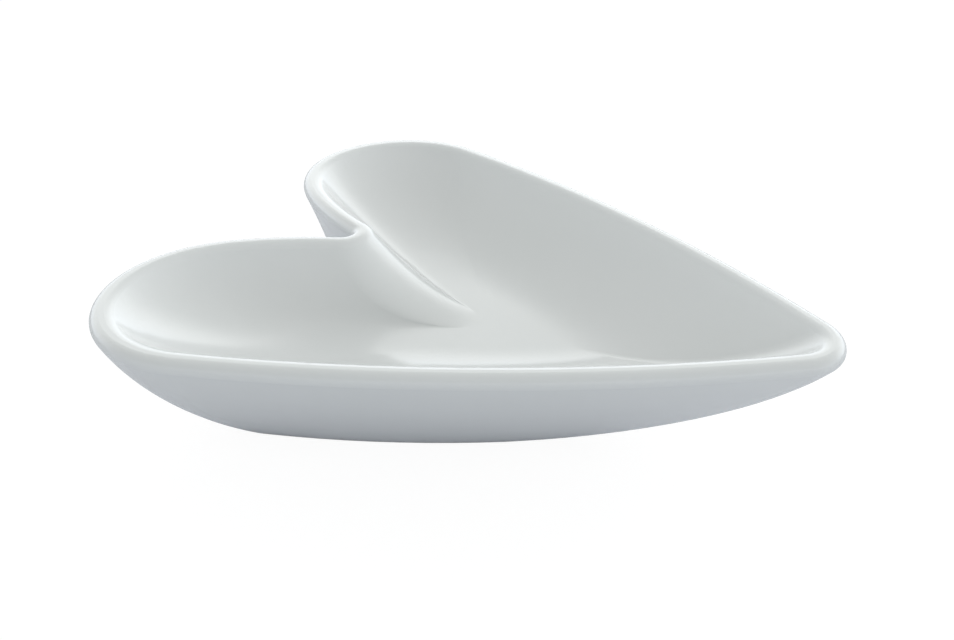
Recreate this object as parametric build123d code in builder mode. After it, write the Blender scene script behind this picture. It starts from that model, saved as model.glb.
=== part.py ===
from build123d import *
from math import atan2, cos, degrees, radians, sin, sqrt
import os

# Heart-shaped porcelain trinket dish, one fired piece: an open bowl with a rounded lip, walls that lean out
# from a small heart-shaped foot, and a hollow under the foot. Millimetres and degrees.
# Origin: on the standing plane, in the middle of the dish's bounding box. +Z up, tip at -Y, lobes at +Y,
# mirror plane X = 0.

# Driving dimensions
length = 80.0              # tip to the top of the lobes
height = 19.2              # standing plane to the crest of the lip
lip_thickness = 2.4        # from the outline to the cavity's mouth
lip_rounding = 1.1         # radius of the lip's outer edge
mouth_rounding = 1.5       # radius of the lip's inner edge

# The rim outline: six tangent arcs on each side, from the tip round a lobe to the notch
rim_tip_radius = 5.75      # the rounded tip; with the flank it sets how far the tip reaches
flank_radius = 201.4       # the long, nearly straight side
lobe_radius = 14.6         # the shoulder and top of a lobe
inner_lobe_radius = 22.6   # where the lobe turns back towards the notch
notch_side_radius = 50.0   # the flatter run down into the notch
notch_radius = 1.3         # the rounded bottom of the notch
lobe_x = 20.25             # the lobe arc's centre, out from the mirror plane
flank_angle = -17.2        # where flank and lobe meet, seen from the lobe arc's centre
inner_lobe_angle = 128.3   # where the lobe arc gives way to the inner lobe arc
notch_side_angle = 143.9   # where the inner lobe arc gives way to the notch side

# The outer wall: from the rim down, the outline moves in evenly and shrinks a little towards a point
wall_inset = 4.7           # how far it has moved in at the foot
wall_centre_y = 22.5       # the point it shrinks towards, on the mirror plane
foot_share = 0.67          # its size at the foot, as a share of the rim's
foot_tip_radius = 9.3      # the rounded tip of the foot
wall_bulge = 0.46          # 0 moves in evenly with height, more bulges the wall out towards the foot
wall_levels = 4            # steps in the loft

# The cavity: the same two moves from the lip down to a small flat floor, steep at first, then levelling out
cavity_depth = 8.6         # the lip's crest to the floor
cavity_inset = 5.0         # how far it has moved in at the floor
cavity_centre_y = -1.0     # the point it shrinks towards, on the mirror plane
floor_share = 0.25         # its size at the floor, as a share of the mouth's
floor_tip_radius = 0.3     # the valley from the tip is sharper on the floor than at the lip
cavity_curve = 2.5         # 1 is a straight wall, more levels out sooner
cavity_shrink = 1.3        # 1 shrinks evenly from mouth to floor, more shrinks mostly near the floor
cavity_levels = 8          # steps in the loft

# The hollow under the foot
foot_width = 2.6           # the standing ring round the hollow
hollow_depth = 5.0         # the standing plane to the hollow's roof
hollow_draft = 1.5         # how much further in its roof lies


def on_circle(centre, radius, angle):
    """The point of a circle at that angle."""
    return centre[0] + radius * cos(radians(angle)), centre[1] + radius * sin(radians(angle))


def angle_from(centre, point):
    """The direction from a centre to a point, from 0 to 360 degrees."""
    return degrees(atan2(point[1] - centre[1], point[0] - centre[0])) % 360


def half_heart(inset, tip_radius):
    """The right half of the rim outline moved in by inset, with a tip arc of that radius: tangent arcs from
    tip to notch, each a centre, a radius, a start angle and an end angle."""
    lobe = (lobe_x, length / 2 - lobe_radius)
    flank = on_circle(lobe, lobe_radius - flank_radius, flank_angle)
    inner_lobe = on_circle(lobe, lobe_radius - inner_lobe_radius, inner_lobe_angle)
    notch_side = on_circle(inner_lobe, inner_lobe_radius - notch_side_radius, notch_side_angle)
    # the tip arc touches both flanks, and the notch arc both notch sides
    to_tip = flank_radius - inset - tip_radius
    tip = (0, flank[1] - sqrt(to_tip**2 - flank[0] ** 2))
    tip_angle = angle_from(flank, tip) - 360
    side = notch_side_radius - inset
    notch = notch_radius + inset
    notch_centre = (0, notch_side[1] + sqrt((side + notch) ** 2 - notch_side[0] ** 2))
    notch_angle = angle_from(notch_side, notch_centre)
    return [
        (tip, tip_radius, -90, tip_angle),
        (flank, flank_radius - inset, tip_angle, flank_angle),
        (lobe, lobe_radius - inset, flank_angle, inner_lobe_angle),
        (inner_lobe, inner_lobe_radius - inset, inner_lobe_angle, notch_side_angle),
        (notch_side, side, notch_side_angle, notch_angle),
        (notch_centre, notch, notch_angle - 180, -90),
    ]


def heart_section(z, inset, share, centre_y, tip_radius):
    """A flat heart at height z: the rim outline moved in by inset, then shrunk to share about (0, centre_y).
    tip_radius is the one after shrinking."""
    with BuildSketch(Plane.XY.offset(z)) as section:
        with BuildLine():
            for (x, y), radius, start, end in half_heart(inset, tip_radius / share):
                centre = (x * share, centre_y + (y - centre_y) * share)
                CenterArc(centre, radius * share, start, end - start)
            mirror(about=Plane.YZ)
        make_face()
    return section.sketch


def between(first, last, part):
    """The value that far from first to last."""
    return first + (last - first) * part


def wall_section(z):
    """The outer wall's heart at a height. It equals the outline where the lip's outer rounding begins."""
    below = 1 - z / (height - lip_rounding)
    inset = wall_inset * below * (1 + wall_bulge * (1 - below))
    tip = between(rim_tip_radius, foot_tip_radius, below)
    return heart_section(z, inset, between(1, foot_share, below**2), wall_centre_y, tip)


def cavity_section(step):
    """The cavity's heart at a step: 0 is its mouth at the lip, 1 its floor."""
    z = height - cavity_depth * (1 - (1 - step) ** cavity_curve)
    closing = 1 - (1 - step) ** 2
    tip = between(rim_tip_radius - lip_thickness, floor_tip_radius, closing)
    share = between(1, floor_share, step**cavity_shrink)
    return heart_section(z, lip_thickness + cavity_inset * closing, share, cavity_centre_y, tip)


def hollow_section(z, width):
    """The hollow under the foot, that far in from the foot's edge."""
    inset = wall_inset + width / foot_share
    return heart_section(z, inset, foot_share, wall_centre_y, foot_tip_radius - width)


with BuildPart() as dish:
    # the outer shape, with the lip's outer edge rounded while the top is still whole
    loft([wall_section(height * level / wall_levels) for level in range(wall_levels + 1)])
    fillet(dish.faces().sort_by(Axis.Z)[-1].edges(), lip_rounding)
    # the bowl and the hollow under the foot
    loft([cavity_section(step / cavity_levels) for step in range(cavity_levels + 1)], mode=Mode.SUBTRACT)
    mouth = hollow_section(0, foot_width)
    roof = hollow_section(hollow_depth, foot_width + hollow_draft)
    loft([mouth, roof], mode=Mode.SUBTRACT)
    # the lip's inner edge
    fillet(dish.faces().sort_by(Axis.Z)[-1].inner_wires()[0].edges(), mouth_rounding)
dish.part.label = "dish"

os.makedirs("parts", exist_ok=True)
export_step(dish.part, "parts/dish.step")

box = dish.part.bounding_box()
print("size", box.size, "volume", round(dish.part.volume), "mm3, solids", len(dish.part.solids()))
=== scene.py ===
import math

import bpy
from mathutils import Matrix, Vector


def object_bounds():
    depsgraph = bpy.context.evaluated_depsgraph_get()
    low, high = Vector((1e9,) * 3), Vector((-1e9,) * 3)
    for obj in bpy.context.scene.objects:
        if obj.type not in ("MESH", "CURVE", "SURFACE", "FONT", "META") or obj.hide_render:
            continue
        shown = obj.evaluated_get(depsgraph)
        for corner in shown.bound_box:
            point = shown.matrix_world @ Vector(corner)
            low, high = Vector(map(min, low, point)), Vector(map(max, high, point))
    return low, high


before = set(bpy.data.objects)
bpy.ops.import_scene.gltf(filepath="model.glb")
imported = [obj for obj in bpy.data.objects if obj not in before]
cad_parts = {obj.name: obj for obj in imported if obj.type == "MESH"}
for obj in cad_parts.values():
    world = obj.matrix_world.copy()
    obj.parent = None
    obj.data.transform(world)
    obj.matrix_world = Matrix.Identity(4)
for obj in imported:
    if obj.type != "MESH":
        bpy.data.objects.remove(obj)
cad_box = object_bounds()

# A heart-shaped porcelain dish on a white studio table, lit softly from behind. Metres; +Z up, tip at -Y.
low, high = (Vector(corner) for corner in cad_box)
length = high.y - low.y
rim_z = high.z

# Camera: the picture's angle and framing, as an aim point on the rim plane and a distance from it
VIEW_AZIMUTH = -63.2
VIEW_ELEVATION = 30.86
AIM = Vector((-0.155 * length, -0.039 * length, rim_z))
DISTANCE = 1.297 * length
LENS = 36.0

# Light: how bright the surround is in front of the dish (behind the camera), overhead, and behind the dish
FRONT = 0.54
FRONT_LOW = 0.96         # near the horizon in front, where it lights the outside of the dish
OVERHEAD = 0.64
BEHIND = 0.76
RIGHT_EXTRA = 0.20       # how much brighter than the middle the right is
LEFT_LOSS = 0.16         # how much darker than the middle the left is
HORIZON = 1.90           # the bright backdrop low down behind the dish
HORIZON_TOP = 32.0       # where it ends, in degrees above the horizon
HORIZON_FADE = 0.16      # how gently it fades above that


def new_material(name):
    """An empty node material and its output node."""
    material = bpy.data.materials.new(name)
    material.use_nodes = True
    material.node_tree.nodes.clear()
    output = material.node_tree.nodes.new("ShaderNodeOutputMaterial")
    return material, material.node_tree, output


def add(tree, kind, **inputs):
    """A node with some of its sockets set. A value that is a socket is linked."""
    node = tree.nodes.new(kind)
    for name, value in inputs.items():
        socket = node.inputs[name.replace("_", " ")]
        if isinstance(value, bpy.types.NodeSocket):
            tree.links.new(value, socket)
        else:
            socket.default_value = value
    return node


def ramp(tree, value, low_end, high_end, low_value, high_value):
    """A smooth step from one value to another as the input goes from low_end to high_end."""
    node = tree.nodes.new("ShaderNodeMapRange")
    node.interpolation_type = "SMOOTHSTEP"
    tree.links.new(value, node.inputs["Value"])
    node.inputs["From Min"].default_value = low_end
    node.inputs["From Max"].default_value = high_end
    node.inputs["To Min"].default_value = low_value
    node.inputs["To Max"].default_value = high_value
    return node.outputs["Result"]


def maths(tree, operation, first, second):
    node = tree.nodes.new("ShaderNodeMath")
    node.operation = operation
    for socket, value in zip(node.inputs, (first, second)):
        if isinstance(value, bpy.types.NodeSocket):
            tree.links.new(value, socket)
        else:
            socket.default_value = value
    return node.outputs["Value"]


def glazed_porcelain():
    """White porcelain under a glossy glaze. The glaze pools slightly uneven, which makes its surface wavy and its
    white drift a little, and the flat standing ring is left bare and matt."""
    material, tree, output = new_material("glazed_porcelain")
    place = add(tree, "ShaderNodeTexCoord").outputs["Object"]
    waves = add(tree, "ShaderNodeTexNoise", Vector=place, Scale=90.0, Detail=2.0)
    bump = add(tree, "ShaderNodeBump", Height=waves.outputs["Fac"], Strength=0.05, Distance=0.001)
    drift = add(tree, "ShaderNodeTexNoise", Vector=place, Scale=35.0, Detail=3.0)
    white = tree.nodes.new("ShaderNodeValToRGB")
    tree.links.new(drift.outputs["Fac"], white.inputs["Fac"])
    white.color_ramp.elements[0].position = 0.3
    white.color_ramp.elements[0].color = (0.785, 0.805, 0.800, 1.0)
    white.color_ramp.elements[1].position = 0.7
    white.color_ramp.elements[1].color = (0.810, 0.825, 0.822, 1.0)
    glaze = add(tree, "ShaderNodeBsdfPrincipled", Base_Color=white.outputs["Color"], Normal=bump.outputs["Normal"])
    glaze.inputs["Roughness"].default_value = 0.18
    glaze.inputs["IOR"].default_value = 1.55
    glaze.inputs["Coat Weight"].default_value = 0.35
    glaze.inputs["Coat Roughness"].default_value = 0.10
    grain = add(tree, "ShaderNodeTexNoise", Vector=place, Scale=2500.0, Detail=2.0)
    rough = add(tree, "ShaderNodeBump", Height=grain.outputs["Fac"], Strength=0.25, Distance=0.0002)
    bare = add(tree, "ShaderNodeBsdfPrincipled", Normal=rough.outputs["Normal"])
    bare.inputs["Base Color"].default_value = (0.76, 0.74, 0.70, 1.0)
    bare.inputs["Roughness"].default_value = 0.75
    up = add(tree, "ShaderNodeSeparateXYZ", Vector=place).outputs["Z"]
    glazed = ramp(tree, up, low.z + 0.0001, low.z + 0.0003, 0.0, 1.0)
    both = add(tree, "ShaderNodeMixShader", Fac=glazed)
    tree.links.new(bare.outputs["BSDF"], both.inputs[1])
    tree.links.new(glaze.outputs["BSDF"], both.inputs[2])
    tree.links.new(both.outputs["Shader"], output.inputs["Surface"])
    return material


def table_materials():
    """The white table as the camera sees it, evenly lit from below with a trace of shadow, and the same table
    as the dish sees it, plain matt white."""
    seen, tree, output = new_material("white_table")
    glow = add(tree, "ShaderNodeEmission", Color=(1.0, 1.0, 1.0, 1.0), Strength=0.93)
    matt = add(tree, "ShaderNodeBsdfDiffuse", Color=(0.12, 0.12, 0.12, 1.0))
    both = tree.nodes.new("ShaderNodeAddShader")
    tree.links.new(glow.outputs["Emission"], both.inputs[0])
    tree.links.new(matt.outputs["BSDF"], both.inputs[1])
    tree.links.new(both.outputs["Shader"], output.inputs["Surface"])
    bounce, tree, output = new_material("white_table_bounce")
    matt = add(tree, "ShaderNodeBsdfDiffuse", Color=(0.75, 0.76, 0.80, 1.0))
    tree.links.new(matt.outputs["BSDF"], output.inputs["Surface"])
    return seen, bounce


def add_floor(name, z, material):
    mesh = bpy.data.meshes.new(name)
    half = 40 * length
    corners = [(-half, -half, z), (half, -half, z), (half, half, z), (-half, half, z)]
    mesh.from_pydata(corners, [], [(0, 1, 2, 3)])
    floor = bpy.data.objects.new(name, mesh)
    bpy.context.collection.objects.link(floor)
    mesh.materials.append(material)
    return floor


def add_table():
    """A wide pale floor at the foot of the dish. Its bright face is for the camera, and the matt one just under
    it gives the dish its bounced light."""
    seen, bounce = table_materials()
    face = add_floor("table", low.z, seen)
    face.visible_diffuse = False
    face.visible_glossy = False
    face.visible_transmission = False
    face.visible_shadow = False
    under = add_floor("table_bounce", low.z - 0.00005, bounce)
    under.visible_camera = False


def view_direction(azimuth, elevation):
    """The way a camera at that angle looks."""
    a, e = math.radians(azimuth), math.radians(elevation)
    return Vector((-math.sin(a) * math.cos(e), math.cos(a) * math.cos(e), -math.sin(e)))


def add_camera():
    data = bpy.data.cameras.new("camera")
    data.lens = LENS
    data.sensor_width = 36.0
    data.clip_start = 0.005
    data.clip_end = 100.0
    camera = bpy.data.objects.new("camera", data)
    bpy.context.collection.objects.link(camera)
    ahead = view_direction(VIEW_AZIMUTH, VIEW_ELEVATION)
    camera.location = AIM - ahead * DISTANCE
    camera.rotation_euler = ahead.to_track_quat("-Z", "Y").to_euler()
    bpy.context.scene.camera = camera
    return camera


def along(tree, direction, axis):
    """How far a direction points along an axis, from -1 to 1."""
    node = add(tree, "ShaderNodeVectorMath")
    node.operation = "DOT_PRODUCT"
    tree.links.new(direction, node.inputs[0])
    node.inputs[1].default_value = axis
    return node.outputs["Value"]


def blend(tree, factor, first, second):
    node = tree.nodes.new("ShaderNodeMix")
    for name, value in (("Factor", factor), ("A", first), ("B", second)):
        if isinstance(value, bpy.types.NodeSocket):
            tree.links.new(value, node.inputs[name])
        else:
            node.inputs[name].default_value = value
    return node.outputs["Result"]


def set_world():
    """Soft studio surround: even grey from the front and overhead, a little more light from the right, a bright
    backdrop low behind the dish, and everything near the horizon faintly blue."""
    world = bpy.data.worlds.new("studio")
    bpy.context.scene.world = world
    world.use_nodes = True
    tree = world.node_tree
    tree.nodes.clear()
    output = tree.nodes.new("ShaderNodeOutputWorld")
    direction = tree.nodes.new("ShaderNodeTexCoord").outputs["Generated"]
    ahead = view_direction(VIEW_AZIMUTH, 0)
    behind = along(tree, direction, ahead)
    leftward = along(tree, direction, Vector((-ahead.y, ahead.x, 0)))
    upward = add(tree, "ShaderNodeSeparateXYZ", Vector=direction).outputs["Z"]
    front = ramp(tree, upward, 0.15, 0.5, FRONT_LOW, FRONT)
    around = blend(tree, ramp(tree, behind, -0.6, 0.6, 0.0, 1.0), front, BEHIND)
    grey = blend(tree, ramp(tree, upward, 0.6, 0.95, 0.0, 1.0), around, OVERHEAD)
    sideways = ramp(tree, leftward, -0.9, 0.9, RIGHT_EXTRA, -LEFT_LOSS)
    top = math.sin(math.radians(HORIZON_TOP))
    low_down = ramp(tree, upward, top - HORIZON_FADE, top + HORIZON_FADE, 1.0, 0.0)
    at_back = ramp(tree, behind, -0.1, 0.5, 0.0, HORIZON - BEHIND)
    backdrop = maths(tree, "MULTIPLY", low_down, at_back)
    total = maths(tree, "ADD", maths(tree, "ADD", grey, sideways), backdrop)
    tint = tree.nodes.new("ShaderNodeValToRGB")
    tree.links.new(ramp(tree, upward, 0.0, 0.5, 0.0, 1.0), tint.inputs["Fac"])
    tint.color_ramp.elements[0].color = (0.92, 0.97, 1.03, 1.0)
    tint.color_ramp.elements[1].color = (0.98, 1.0, 0.99, 1.0)
    background = add(tree, "ShaderNodeBackground", Color=tint.outputs["Color"], Strength=total)
    tree.links.new(background.outputs["Background"], output.inputs["Surface"])


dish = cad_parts["dish"]
dish.data.materials.clear()
dish.data.materials.append(glazed_porcelain())
for polygon in dish.data.polygons:
    polygon.use_smooth = True

add_table()
add_camera()
set_world()
bpy.context.scene.view_settings.view_transform = "Standard"
